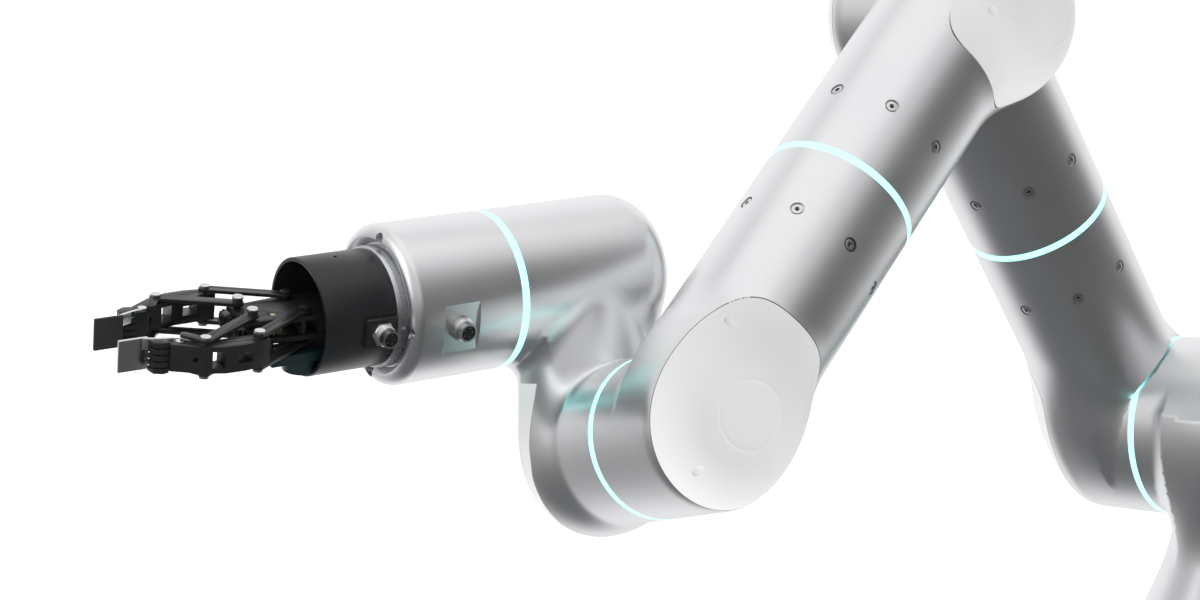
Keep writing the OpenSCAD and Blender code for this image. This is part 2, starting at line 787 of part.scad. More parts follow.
// Motor and gearbox below the linkage, with the can at the lowest side.
module gripper_motor() {
  can = [10, mouth + 3];
  color([0.13, 0.2, 0.21]) at_flange() difference() {
    union() {
      translate([3, -motor_top - 6, 26]) cube([18, 6, pinion_spot[1] + 6 - 26]);
      pin(can, 10, -28, -motor_top - 5);
      pin(can, 3, -29, -27);
    }
    pin(pinion_spot, pinion_shaft_r + pin_gap, -motor_top - 4, 0);
  }
}

module gripper_pinion() {
  color([0.75, 0.72, 0.6]) at_flange() {
    plate(-gear_half, 2 * gear_half) translate(pinion_spot) gear_outline(pinion_teeth, pinion_phase);
    pin(pinion_spot, pinion_shaft_r, -motor_top - 3.8, palm_y + palm_t);
  }
}

// A driver is a gear between the palm plates, a shaft, and a bent bar on each side of the finger.
module driver() {
  both_sides(link_y, link_t) difference() {
    union() {
      bar(drive_pivot, drive_tip, link_half);
      bar(drive_tip, driver_nose, link_half - 1);
    }
    translate(drive_tip) circle(r = pin_r + pin_gap);
  }
  pin(drive_pivot, pin_r, -link_top, link_top);
  pin(drive_pivot, head_r, link_top - 0.5, link_top + 2.6);
  pin(drive_pivot, head_r, -link_top - 2.6, -link_top + 0.5);
}

module near_driver() {
  color(black) at_flange() {
    driver();
    plate(-gear_half, 2 * gear_half) translate(drive_pivot) gear_outline(teeth, 0);
  }
}

module far_driver() {
  color(black) at_flange() {
    mirror([1, 0, 0]) driver();
    plate(-gear_half, 2 * gear_half) translate([-drive_pivot[0], drive_pivot[1]]) gear_outline(teeth, 0);
  }
}

module follower() {
  both_sides(link_y, link_t) difference() {
    bar(follow_pivot, follow_tip, link_half);
    translate(follow_pivot) circle(r = pin_r + pin_gap);
    translate(follow_tip) circle(r = pin_r + open_pivot_gap);
  }
}

module near_follower() { color(black) at_flange() follower(); }
module far_follower() { color(black) at_flange() mirror([1, 0, 0]) follower(); }

finger_end = mouth + 94;      // where the fingertip is screwed on

module finger_plan() {
  difference() {
    polygon([
      follow_tip + [4.2, -4.8], follow_tip + [6.4, 11], follow_tip + [6, 23], follow_tip + [1.5, 36],
      [27.5, finger_end], [19, finger_end], [20, finger_end - 8], drive_tip + [-6.6, 6],
      follow_tip + [-5.2, 21], follow_tip + [-4.6, -4.8]
    ]);
    for (spot = [follow_tip, drive_tip, rivet_spot]) translate(spot) circle(r = pin_r);
  }
}

module finger() {
  difference() {
    plate(-finger_h, 2 * finger_h) finger_plan();
    translate([20, -5, mouth + 66.5]) cube([30, 10, 7]);
    translate([20, -3, mouth + 50]) cube([30, 6, 9]);
    translate([20, 0, mouth + 82]) rotate([0, 90, 0]) cylinder(r = 1.5, h = 30, $fn = 32);
  }
}

module near_finger() { color(black) at_flange() finger(); }
module far_finger() { color(black) at_flange() mirror([1, 0, 0]) finger(); }

// A fingertip is a knuckle block with a bent gripping plate.
module fingertip() {
  tip_end = mouth + 120;
  tip_half = 9.6;
  plate(-tip_half, 2 * tip_half) polygon([
    [18.7, finger_end], [27, finger_end], [27.6, finger_end + 5], [25, finger_end + 9],
    [18.4, finger_end + 10], [17.8, tip_end], [15, tip_end], [15, finger_end + 6]
  ]);
}

module near_fingertip() { color([0.75, 0.76, 0.77]) at_flange() fingertip(); }
module far_fingertip() { color([0.2, 0.2, 0.21]) at_flange() mirror([1, 0, 0]) fingertip(); }

module finger_pins() {
  headed_pin(follow_tip, link_top + head_gap, 1.4);
  headed_pin(drive_tip, link_top + head_gap, 1.4);
  pin(rivet_spot, pin_r, -finger_h, finger_h);
  pin(rivet_spot, 2.6, finger_h, finger_h + 0.5);
}

module near_pins() { color("silver") at_flange() finger_pins(); }
module far_pins() { color("silver") at_flange() mirror([1, 0, 0]) finger_pins(); }

base_casting();
base_plate();
connector_panel();
base_connectors();
j1_light_ring();
j2_light_ring();
j3_light_ring();
j4_light_ring();
j5_light_ring();
j6_light_ring();
j7_light_ring();
j1_drive();
j2_drive();
j3_drive();
j4_drive();
j5_drive();
j6_drive();
j7_drive();
j1_output();
j2_output();
j3_output();
j4_output();
j5_output();
j6_output();
j7_output();
shoulder_shell();
upper_arm_lower_shell();
upper_arm_upper_shell();
forearm_lower_shell();
forearm_upper_shell();
wrist_shell();
shoulder_cap();
upper_arm_lower_cap();
upper_arm_upper_cap();
forearm_lower_cap();
forearm_upper_cap();
wrist_cap();
upper_arm_lower_screws();
upper_arm_upper_screws();
forearm_lower_screws();
forearm_upper_screws();
tool_housing();
tool_flange();
tool_screws();
tool_connector();
gripper_body();
gripper_connector();
gripper_motor();
gripper_palm();
gripper_pinion();
near_driver();
near_follower();
near_finger();
near_fingertip();
near_pins();
far_driver();
far_follower();
far_finger();
far_fingertip();
far_pins();
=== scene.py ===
"""Seven-axis collaborative robot arm with a two-finger linkage gripper.

Lengths are in millimetres inside the builders and become metres when a piece is placed.
The shells are level surfaces of smooth distance fields, cut to the joints of the CAD frame.
"""
import math

import bmesh
import bpy
import numpy as np
import openvdb as vdb
from mathutils import Matrix, Vector


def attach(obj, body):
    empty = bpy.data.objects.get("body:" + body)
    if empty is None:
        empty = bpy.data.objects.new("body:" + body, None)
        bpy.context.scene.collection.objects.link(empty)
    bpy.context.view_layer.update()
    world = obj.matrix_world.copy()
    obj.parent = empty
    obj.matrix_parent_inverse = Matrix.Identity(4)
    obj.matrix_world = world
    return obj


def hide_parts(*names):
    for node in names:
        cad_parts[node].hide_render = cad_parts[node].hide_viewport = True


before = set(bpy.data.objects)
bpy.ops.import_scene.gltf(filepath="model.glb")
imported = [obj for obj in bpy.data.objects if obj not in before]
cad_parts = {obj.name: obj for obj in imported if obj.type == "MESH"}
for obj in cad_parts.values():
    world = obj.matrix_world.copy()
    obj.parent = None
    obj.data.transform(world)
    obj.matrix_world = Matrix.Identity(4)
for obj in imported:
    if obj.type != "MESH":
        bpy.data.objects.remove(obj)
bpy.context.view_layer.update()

MM = 0.001


# ---- frames of the links at rest, in millimetres ----

def shift(x, y, z):
    return Matrix.Translation((x, y, z))


def turn(axis, degrees):
    return Matrix.Rotation(math.radians(degrees), 4, axis)


BASE_H = 155
J2_SIDE, J2_RISE = 30, 210
J3_SIDE, J3_RISE = 42, 203
J4_SIDE, J4_RISE = 30, 187
J5_SIDE, J5_RISE = 25, 193
J6_SIDE, J6_RISE = 26, 190
J7_SIDE, J7_RISE, J7_REACH = 75, 108, 56
ELBOW_OFFSET = 20
TOOL_LEN = 81

# radii of the barrels and tubes
SHOULDER_R = 66
UPPER_R = 51.5
FOREARM_R = 50
WRIST_R = 49
TOOL_R = 48.5

LINK1 = shift(0, 0, BASE_H)
LINK2 = LINK1 @ shift(0, J2_SIDE, J2_RISE) @ turn("Y", -39)
LINK3 = LINK2 @ shift(0, J3_SIDE, J3_RISE)
ELBOW = LINK3 @ shift(-ELBOW_OFFSET, -J4_SIDE, J4_RISE)
LINK4 = ELBOW @ turn("Z", 180) @ turn("Y", 96)
JOINT5 = LINK4 @ shift(-ELBOW_OFFSET, J5_SIDE, J5_RISE)
LINK5 = JOINT5 @ turn("Z", 180) @ turn("Z", 16)
WRIST = LINK5 @ shift(0, J6_SIDE, J6_RISE)
LINK6 = WRIST @ turn("Y", 130)
TOOL = LINK6 @ shift(-J7_REACH, J7_SIDE, J7_RISE) @ turn("Y", -90) @ turn("Z", -120)
FLANGE = TOOL @ shift(0, 0, TOOL_LEN)
ALONG_Y = turn("X", -90)          # turns +Z to +Y

RING_HALF = 2.3       # half width of a light band
CHILD_START = 2.6     # where the next link starts, from the middle of the band
SCREW_BACK = 48       # from the band's middle back to the clamp screws


# ---- materials ----

def new_material(name):
    m = bpy.data.materials.new(name)
    m.use_nodes = True
    tree = m.node_tree
    return m, tree, tree.nodes["Principled BSDF"]


def noise(tree, scale, detail=4.0, rough=0.55):
    coord = tree.nodes.new("ShaderNodeTexCoord")
    tex = tree.nodes.new("ShaderNodeTexNoise")
    tex.inputs["Scale"].default_value = scale
    tex.inputs["Detail"].default_value = detail
    tex.inputs["Roughness"].default_value = rough
    tree.links.new(coord.outputs["Object"], tex.inputs["Vector"])
    return tex.outputs["Fac"]


def ramp(tree, fac, low, high, start=0.3, end=0.7):
    r = tree.nodes.new("ShaderNodeValToRGB")
    r.color_ramp.elements[0].position = start
    r.color_ramp.elements[1].position = end
    r.color_ramp.elements[0].color = (*low, 1) if len(low) == 3 else low
    r.color_ramp.elements[1].color = (*high, 1) if len(high) == 3 else high
    tree.links.new(fac, r.inputs["Fac"])
    return r.outputs["Color"]


def spread(tree, fac, low, high):
    r = tree.nodes.new("ShaderNodeMapRange")
    r.inputs["From Min"].default_value = 0.3
    r.inputs["From Max"].default_value = 0.7
    r.inputs["To Min"].default_value = low
    r.inputs["To Max"].default_value = high
    tree.links.new(fac, r.inputs["Value"])
    return r.outputs["Result"]


def bump(tree, bsdf, fac, strength, distance):
    b = tree.nodes.new("ShaderNodeBump")
    b.inputs["Strength"].default_value = strength
    b.inputs["Distance"].default_value = distance
    tree.links.new(fac, b.inputs["Height"])
    tree.links.new(b.outputs["Normal"], bsdf.inputs["Normal"])


def finish_of(name, dark, light, rough, metallic=0.0, grain=900.0, relief=0.00003, coat=0.0):
    """A painted, anodised or moulded finish with fine grain, cloudy colour and uneven gloss."""
    m, tree, bsdf = new_material(name)
    cloud = noise(tree, 14.0)
    fine = noise(tree, grain, detail=2.0)
    tree.links.new(ramp(tree, cloud, dark, light), bsdf.inputs["Base Color"])
    tree.links.new(spread(tree, cloud, rough[0], rough[1]), bsdf.inputs["Roughness"])
    bsdf.inputs["Metallic"].default_value = metallic
    bsdf.inputs["Coat Weight"].default_value = coat
    bsdf.inputs["Coat Roughness"].default_value = 0.25
    bump(tree, bsdf, fine, 0.35, relief)
    return m


def turned_metal(name, colour, rough, grain=400.0):
    """Machined metal with fine tool marks."""
    m, tree, bsdf = new_material(name)
    fine = noise(tree, grain, detail=3.0)
    cloud = noise(tree, 30.0)
    dark = tuple(0.88 * c for c in colour)
    tree.links.new(ramp(tree, cloud, dark, colour), bsdf.inputs["Base Color"])
    tree.links.new(spread(tree, fine, rough * 0.8, rough * 1.25), bsdf.inputs["Roughness"])
    bsdf.inputs["Metallic"].default_value = 1.0
    bump(tree, bsdf, fine, 0.3, 0.00002)
    return m


def glow_of(name, colour, strength):
    """Light band: a milky diffuser, lit from behind."""
    m, tree, bsdf = new_material(name)
    cloud = noise(tree, 40.0)
    bright = tuple(min(1.0, 1.03 * c) for c in colour)
    tree.links.new(ramp(tree, cloud, colour, bright), bsdf.inputs["Emission Color"])
    bsdf.inputs["Emission Strength"].default_value = strength
    tree.links.new(ramp(tree, cloud, (0.02, 0.05, 0.05), (0.03, 0.06, 0.06)), bsdf.inputs["Base Color"])
    bsdf.inputs["Roughness"].default_value = 0.5
    return m


SILVER = finish_of("satin_silver", (0.78, 0.785, 0.795), (0.82, 0.825, 0.83), (0.30, 0.35),
                   metallic=0.97)
WHITE = finish_of("cap_white", (0.79, 0.79, 0.79), (0.82, 0.82, 0.82), (0.42, 0.5), grain=700.0)
# dark grey of the strip just under each seam gap between cap and shell: painted shade inside the gap
SEAM_SHADE = finish_of("seam_shade_grey", (0.10, 0.10, 0.105), (0.14, 0.14, 0.145), (0.6, 0.7))
GLOW = glow_of("light_cyan", (0.34, 0.97, 0.92), 2.1)
BLACK = finish_of("anodised_black", (0.010, 0.0105, 0.012), (0.016, 0.017, 0.019), (0.30, 0.38),
                  grain=1200.0)
# near black: painted shade on the cone at the bottom of each screw's hex socket, and the real black insert
# face of the connectors
SHADE_AND_INSERT_BLACK = finish_of("socket_shade_and_insert_black", (0.004, 0.004, 0.004), (0.008, 0.008, 0.008), (0.5, 0.6))
PALM = finish_of("palm_grey", (0.020, 0.022, 0.024), (0.032, 0.034, 0.037), (0.32, 0.4), metallic=0.4)
TEAL = finish_of("motor_teal", (0.006, 0.018, 0.019), (0.010, 0.026, 0.027), (0.3, 0.38))
STEEL = turned_metal("screw_steel", (0.74, 0.745, 0.76), 0.24)
NICKEL = turned_metal("connector_nickel", (0.80, 0.80, 0.80), 0.16)
BRASS = turned_metal("pinion_brass", (0.68, 0.56, 0.33), 0.3)
DRIVE = turned_metal("drive_steel", (0.42, 0.43, 0.45), 0.4)
OUTPUT = turned_metal("output_steel", (0.60, 0.61, 0.63), 0.3)
PLATE = turned_metal("flange_aluminium", (0.72, 0.73, 0.75), 0.28)
TIP = turned_metal("tip_bright", (0.80, 0.81, 0.82), 0.22)
RUBBER = finish_of("tip_rubber", (0.016, 0.016, 0.017), (0.026, 0.026, 0.028), (0.5, 0.62))
PANEL = finish_of("panel_black", (0.018, 0.018, 0.019), (0.028, 0.028, 0.029), (0.45, 0.55))


# ---- distance fields, in millimetres ----

def rounded_cylinder(u, v, w, r, lo, hi, edge):
    """A cylinder along w with rounded rims; u and v are across it."""
    d = np.sqrt(u * u + v * v) - r + edge
    a = np.abs(w - (lo + hi) / 2) - (hi - lo) / 2 + edge
    outside = np.sqrt(np.maximum(d, 0) ** 2 + np.maximum(a, 0) ** 2)
    return np.minimum(np.maximum(d, a), 0) + outside - edge


def blend(a, b, k):
    """Union with a fillet of about k."""
    k = np.maximum(k, 0.01)
    h = np.maximum(k - np.abs(a - b), 0) / k
    return np.minimum(a, b) - h * h * k / 4


def fillet_from(y, plane, size=45.0, run=24.0):
    """The fillet grows from nothing at the joint plane, so nothing bulges past it."""
    return size * np.clip((y - plane) / run, 0, 1)


def elbow_field(barrel_r, tube_r, tube_x, tube_y, tube_len, crown, ring_y):
    """A barrel along +Y with a domed crown, and a tube up +Z."""
    def field(p):
        x, y, z = p[..., 0], p[..., 1], p[..., 2]
        barrel = rounded_cylinder(x, z, y, barrel_r, -60, crown, 25)
        tube = rounded_cylinder(x - tube_x, y - tube_y, z, tube_r, 8, tube_len + 60, 41)
        return blend(barrel, tube, fillet_from(y, ring_y))
    return field


def shoulder_field(p):
    """A column up +Z that leans back under the shoulder's barrel."""
    x, y, z = p[..., 0], p[..., 1], p[..., 2]
    t = np.clip((z - 20) / 130, 0, 1)
    t = t * t * (3 - 2 * t)
    column = np.sqrt(x * x + (y + 20 * t) ** 2) - (SHOULDER_R - 20 * t)
    column = np.maximum(column * 0.97, z - 200)
    barrel = rounded_cylinder(x, z - J2_RISE, y, SHOULDER_R, J2_SIDE - 98, 90, 25)
    return blend(barrel, column, fillet_from(-y, -J2_SIDE + RING_HALF))


WRIST_CROWN = 84
WRIST_SEAM_Y, WRIST_SEAM_TOP, WRIST_SEAM_LEAN = 62, 46, 9


def wrist_field(p):
    """The wrist barrel along +Y, an oval neck up +Z, and the tool's barrel along X."""
    x, y, z = p[..., 0], p[..., 1], p[..., 2]
    k = fillet_from(y, J7_SIDE - TOOL_R, 34.0, 44.0)
    k_tool = np.minimum(k, fillet_from(x, -J7_REACH + RING_HALF, 34.0, 40.0))
    barrel = rounded_cylinder(x, z, y, WRIST_R, -60, WRIST_CROWN, 16)
    t = np.clip(z / J7_RISE, 0, 1)
    t = t * t * (3 - 2 * t)
    deep, wide = 27 + 17 * t, 42 + 4 * t
    across = np.sqrt((x / wide) ** 2 + ((y - 54 - 20 * t) / deep) ** 2 + (np.minimum(z, 0) / wide) ** 2)
    neck = np.maximum((across - 1) * deep, z - J7_RISE)
    tool = rounded_cylinder(y - J7_SIDE, z - J7_RISE, x, TOOL_R, -130, 60, 27)
    return blend(blend(barrel, neck, k), tool, k_tool)


def base_field(p):
    """The base drum on its round foot, with the seat of the connector panel at +X."""
    x, y, z = p[..., 0], p[..., 1], p[..., 2]
    t = np.clip((z - 108) / 30, 0, 1)
    t = t * t * (3 - 2 * t)
    drum = np.sqrt(x * x + y * y) - (74 - 8 * t)
    drum = np.maximum(drum, -z - 40)
    foot = rounded_cylinder(x, y, z, 95, -60, 12, 3)
    seat = np.maximum(np.maximum(np.abs(y) - 37, np.abs(z - 44) - 31) + 3, x - 82 + 3)
    seat = np.maximum(seat, 20 - x) - 3
    return blend(blend(drum, foot, 16), seat, 8)


def gradient(field, p, eps=0.12):
    """Central differences of a field at many points."""
    g = np.zeros_like(p)
    for i in range(3):
        d = np.zeros(3)
        d[i] = eps
        g[:, i] = (field(p + d) - field(p - d)) / (2 * eps)
    return g


def settle(p, field, rounds=4):
    """Moves points onto the level surface."""
    for _ in range(rounds):
        g = gradient(field, p)
        size = np.maximum((g * g).sum(1), 0.2)
        step = field(p) / size
        p = p - g * np.clip(step, -2, 2)[:, None]
    return p


# ---- meshes ----

def link_object(name, mesh):
    obj = bpy.data.objects.new(name, mesh)
    bpy.context.scene.collection.objects.link(obj)
    return obj


def mesh_of(name, points, faces):
    mesh = bpy.data.meshes.new(name)
    mesh.from_pydata([tuple(p) for p in points], [], [tuple(f) for f in faces])
    mesh.update()
    return mesh


def level_surface(name, field, lo, hi, step=3.0, offset=0.0):
    """Closed mesh where the field is zero, with its points on the exact surface."""
    def moved(p):
        return field(p) + offset
    axes = [np.arange(a - 3 * step, b + 4 * step, step) for a, b in zip(lo, hi)]
    grid = np.stack(np.meshgrid(*axes, indexing="ij"), -1)
    values = np.clip(moved(grid), -9, 9).astype(np.float32)
    values[0], values[-1] = 9, 9
    values[:, 0], values[:, -1] = 9, 9
    values[:, :, 0], values[:, :, -1] = 9, 9
    volume = vdb.FloatGrid(9.0)
    volume.copyFromArray(values)
    points, quads = volume.convertToQuads()
    points = points.astype(float) * step + np.array([a[0] for a in axes])
    inside = np.all((points > np.array(lo) - step) & (points < np.array(hi) + step), axis=1)
    points[inside] = settle(points[inside], moved)
    p = points[quads[:, :3]]
    normal = np.cross(p[:, 1] - p[:, 0], p[:, 2] - p[:, 0])
    if (normal * gradient(moved, p.mean(1))).sum() < 0:
        quads = quads[:, ::-1]
    return link_object(name, mesh_of(name, points, quads.tolist()))


def bend_profile(profile, segments, closed):
    points, faces, rows = [], [], []
    for r, h in profile:
        if r < 1e-6:
            rows.append([len(points)])
            points.append((0, 0, h))
        else:
            rows.append(list(range(len(points), len(points) + segments)))
            for i in range(segments):
                a = 2 * math.pi * i / segments
                points.append((r * math.cos(a), r * math.sin(a), h))
    pairs = list(zip(rows, rows[1:])) + ([(rows[-1], rows[0])] if closed else [])
    for a, b in pairs:
        for i in range(segments):
            j = (i + 1) % segments
            if len(a) == 1 and len(b) > 1:
                faces.append((a[0], b[j], b[i]))
            elif len(b) == 1 and len(a) > 1:
                faces.append((a[i], a[j], b[0]))
            elif len(a) > 1:
                faces.append((a[i], a[j], b[j], b[i]))
    return points, faces


def soften(profile, size, closed=False):
    """Rounds the corners of a profile with two points each."""
    done, n = [], len(profile)
    for i, (r, h) in enumerate(profile):
        if not closed and i in (0, n - 1):
            done.append((r, h))
            continue
        here = Vector((r, h))
        before, after = Vector(profile[i - 1]), Vector(profile[(i + 1) % n])
        s = min(size, 0.45 * (before - here).length, 0.45 * (after - here).length)
        if r < 1e-6 or s < 1e-4:
            done.append((r, h))
            continue
        a = here + (before - here).normalized() * s
        b = here + (after - here).normalized() * s
        mid = (a + b) / 4 + here / 2
        done += [tuple(a), tuple(mid), tuple(b)]
    return done


def outward(mesh):
    bm = bmesh.new()
    bm.from_mesh(mesh)
    bmesh.ops.recalc_face_normals(bm, faces=bm.faces)
    bm.to_mesh(mesh)
    bm.free()


def lathe(name, profile, segments=96, size=0.0, closed=False):
    """A turned piece about +Z. The profile is (radius, height) pairs."""
    if size:
        profile = soften(profile, size, closed)
    mesh = mesh_of(name, *bend_profile(profile, segments, closed))
    outward(mesh)
    return link_object(name, mesh)


def block(name, lo, hi):
    x0, y0, z0 = lo
    x1, y1, z1 = hi
    points = [(x, y, z) for z in (z0, z1) for y in (y0, y1) for x in (x0, x1)]
    faces = [(0, 2, 3, 1), (4, 5, 7, 6), (0, 1, 5, 4), (2, 6, 7, 3), (0, 4, 6, 2), (1, 3, 7, 5)]
    return link_object(name, mesh_of(name, points, faces))


def prism(name, outline, y0, y1, edge=0.0):
    """An outline of (x, z) points raised along Y, with bevelled edges."""
    n = len(outline)
    points = [(x, y0, z) for x, z in outline] + [(x, y1, z) for x, z in outline]
    faces = [tuple(range(n)), tuple(range(2 * n - 1, n - 1, -1))]
    faces += [(i, i + n, (i + 1) % n + n, (i + 1) % n) for i in range(n)]
    mesh = mesh_of(name, points, faces)
    bm = bmesh.new()
    bm.from_mesh(mesh)
    bmesh.ops.recalc_face_normals(bm, faces=bm.faces)
    if edge:
        sharp = [e for e in bm.edges if e.calc_face_angle(0) > 0.5]
        bmesh.ops.bevel(bm, geom=sharp, offset=edge, segments=2, profile=0.5, affect="EDGES",
                        clamp_overlap=True)
    bm.to_mesh(mesh)
    bm.free()
    return link_object(name, mesh)


def rod(name, r, lo, hi, segments=64):
    return lathe(name, [(0, lo), (r, lo), (r, hi), (0, hi)], segments)


def placed(obj, matrix):
    obj.data.transform(matrix)
    if matrix.determinant() < 0:
        obj.data.flip_normals()
    return obj


def paint(obj, material):
    """Gives a whole piece one material."""
    obj.data.materials.clear()
    obj.data.materials.append(material)
    obj.data.polygons.foreach_set("material_index", [0] * len(obj.data.polygons))
    return obj


def combined(name, objs):
    """One object from several, with their materials."""
    bm = bmesh.new()
    mats = []
    for o in objs:
        start = len(bm.faces)
        bm.from_mesh(o.data)
        bm.faces.ensure_lookup_table()
        own = list(o.data.materials)
        mats += [m for m in own if m not in mats]
        for f in bm.faces[start:]:
            f.material_index = mats.index(own[f.material_index]) if own else 0
    mesh = bpy.data.meshes.new(name)
    bm.to_mesh(mesh)
    bm.free()
    for m in mats:
        mesh.materials.append(m)
    for o in objs:
        bpy.data.objects.remove(o)
    return link_object(name, mesh)


def carve(obj, cutter, operation="DIFFERENCE"):
    """Cuts an object with another, which is used up."""
    mod = obj.modifiers.new("carve", "BOOLEAN")
    mod.operation = operation
    mod.object = cutter
    mod.solver = "MANIFOLD"
    bpy.context.view_layer.update()
    dg = bpy.context.evaluated_depsgraph_get()
    mesh = bpy.data.meshes.new_from_object(obj.evaluated_get(dg))
    obj.modifiers.clear()
    obj.data = mesh
    bpy.data.objects.remove(cutter)
    return obj


def true_normals(obj, field):
    """Shades the field's own surface with its exact normals, and cut faces flat."""
    mesh = obj.data
    n = len(mesh.vertices)
    co = np.zeros(n * 3)
    mesh.vertices.foreach_get("co", co)
    co = co.reshape(-1, 3)
    on = np.abs(field(co)) < 0.12
    g = gradient(field, co)
    g /= np.maximum(np.linalg.norm(g, axis=1), 1e-9)[:, None]
    loops = np.zeros(len(mesh.loops), np.int32)
    mesh.loops.foreach_get("vertex_index", loops)
    counts = np.zeros(len(mesh.polygons), np.int32)
    mesh.polygons.foreach_get("loop_total", counts)
    flat = np.zeros(len(mesh.polygons) * 3)
    mesh.polygons.foreach_get("normal", flat)
    face = np.repeat(flat.reshape(-1, 3), counts, axis=0)
    smooth = on[loops] & ((g[loops] * face).sum(1) > 0.55)
    mesh.polygons.foreach_set("use_smooth", np.ones(len(mesh.polygons), bool))
    mesh.normals_split_custom_set(np.where(smooth[:, None], g[loops], face).tolist())


def shade(obj, degrees=32):
    obj.data.polygons.foreach_set("use_smooth", [True] * len(obj.data.polygons))
    obj.data.set_sharp_from_angle(angle=math.radians(degrees))
    return obj


def settle_in(obj, matrix, body, material=None, replaces=()):
    """Places a piece built in a link's frame, in metres, on its body."""
    placed(obj, Matrix.Scale(MM, 4) @ matrix)
    if material is not None:
        paint(obj, material)
    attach(obj, body)
    if replaces:
        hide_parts(*replaces)
    return obj


# ---- shells, caps and the dark strips under their seams, which are painted shade ----

SEAM_RUN, SEAM_RISE = 14, 25      # size of the rounded corner of a cap's seam
SEAM_GAP = 0.3                    # from the seam's middle to the cap, and to the shell
# half width of the dark strip under a seam gap, which is painted shade
SEAM_SHADE_HALF = 3.0
SHOULDER_SEAM, SHOULDER_SEAM_TOP = 80, 300


def beyond_seam(seam_y, seam_top, grow):
    """Everything outward of a cap's seam, which turns outward over a rounded corner."""
    corner = []
    for i in range(19):
        a = math.radians(5 * i)
        corner.append((seam_y + SEAM_RUN * (1 - math.cos(a)), seam_top - SEAM_RISE * (1 - math.sin(a))))
    outline = [(seam_y, -300)] + corner + [(300, seam_top), (300, -300)]
    outline = [(y - grow, z + grow) for y, z in outline]
    return placed(prism("seam", outline, -300, 300), turn("Z", 90))


def seam_strip(seam_y, seam_top):
    """A strip along the seam, under the gap, coloured dark grey as painted shade inside the gap."""
    return carve(beyond_seam(seam_y, seam_top, SEAM_SHADE_HALF), beyond_seam(seam_y, seam_top, -SEAM_SHADE_HALF))


def relief(spots, rings, crown):
    """Dimples and a faint raised ring in the crown of a cap, as changes to its field."""
    def change(p):
        out = np.zeros(p.shape[:-1])
        near = np.clip((p[..., 1] - crown + 14) / 4, 0, 1)
        for x, z, r in spots:
            d = np.sqrt((p[..., 0] - x) ** 2 + (p[..., 2] - z) ** 2) / r
            out = out + 1.5 * near * np.clip(1 - d * d, 0, 1) ** 0.8
        for x, z, r in rings:
            d = np.abs(np.sqrt((p[..., 0] - x) ** 2 + (p[..., 2] - z) ** 2) - r) / 1.6
            out = out - 0.3 * near * np.clip(1 - d * d, 0, 1) ** 2
        return out
    return change


def sharpened(obj, field, spots, rings, crown):
    """Refines a cap's mesh where it has relief, and moves it onto the new surface."""
    bm = bmesh.new()
    bm.from_mesh(obj.data)
    for level in range(3):
        margin = (3.0, 1.2, 0.6)[level]
        chosen = []
        for e in bm.edges:
            m = (e.verts[0].co + e.verts[1].co) / 2
            if m.y < crown - 14:
                continue
            close = any(math.hypot(m.x - x, m.z - z) < r + margin for x, z, r in spots)
            close = close or any(abs(math.hypot(m.x - x, m.z - z) - r) < 1.6 + margin for x, z, r in rings)
            if close:
                chosen.append(e)
        bmesh.ops.subdivide_edges(bm, edges=chosen, cuts=1, use_grid_fill=True)
    co = np.array([v.co for v in bm.verts])
    top = co[:, 1] > crown - 16
    co[top] = settle(co[top], field, 3)
    for v, c in zip(bm.verts, co):
        v.co = c
    bm.to_mesh(obj.data)
    bm.free()
    return obj


def screw_pockets(tube_x, tube_y, end_z, tube_r, count=8, r=4.5, depth=2.4):
    cutters = []
    for i in range(count):
        c = rod("pocket", r, 0, 14, 40)
        spot = shift(tube_x, tube_y, end_z + RING_HALF - SCREW_BACK) @ turn("Z", i * 360 / count)
        cutters.append(placed(c, spot @ shift(tube_r - depth, 0, 0) @ turn("Y", 90)))
    return combined("pockets", cutters)


def elbow(name, body, matrix, shell_node, cap_node, dims, seam_y, seam_top, spots, ring):
    """Shell, cap and the dark strip under the seam, painted shade of the gap, of a link that turns a
    corner.
    """
    barrel_r, tube_r, tube_x, tube_y, tube_len, crown, mate_r, ring_y = dims
    field = elbow_field(barrel_r, tube_r, tube_x, tube_y, tube_len, crown, ring_y)
    wide = max(barrel_r, tube_r + abs(tube_x)) + 6
    lo = (-wide, min(-62, tube_y - tube_r), -barrel_r)
    hi = (wide, max(crown, tube_y + tube_r), tube_len + 60)
    whole = level_surface(name + "_whole", field, lo, hi)
    carve(whole, placed(rod("mate", mate_r + 1.5, -300, ring_y, 192), ALONG_Y))
    carve(whole, block("end", (-400, -400, tube_len), (400, 400, tube_len + 400)))

    cap = link_object(cap_node + "_skin", whole.data.copy())
    carve(cap, beyond_seam(seam_y, seam_top, -SEAM_GAP), "INTERSECT")
    marks = relief(spots, ring, crown)
    sharpened(cap, lambda p: field(p) + marks(p), spots, ring, crown)
    true_normals(cap, lambda p: field(p) + marks(p))

    # the strip under the seam gap, coloured dark grey as painted shade of the gap
    inner = level_surface(name + "_inner", field, lo, hi, offset=1.1)
    carve(inner, placed(rod("mate", mate_r + 3, -300, ring_y + 2, 96), ALONG_Y))
    carve(inner, block("end", (-400, -400, tube_len - 2), (400, 400, tube_len + 400)))
    carve(inner, seam_strip(seam_y, seam_top), "INTERSECT")

    shell = whole
    shell.name = shell_node + "_skin"
    carve(shell, beyond_seam(seam_y, seam_top, SEAM_GAP))
    carve(shell, screw_pockets(tube_x, tube_y, tube_len, tube_r))
    true_normals(shell, field)

    settle_in(shell, matrix, body, SILVER, (shell_node,))
    settle_in(cap, matrix, body, WHITE, (cap_node,))
    inner.name = name + "_seam_shade"
    settle_in(shade(inner), matrix, body, SEAM_SHADE)


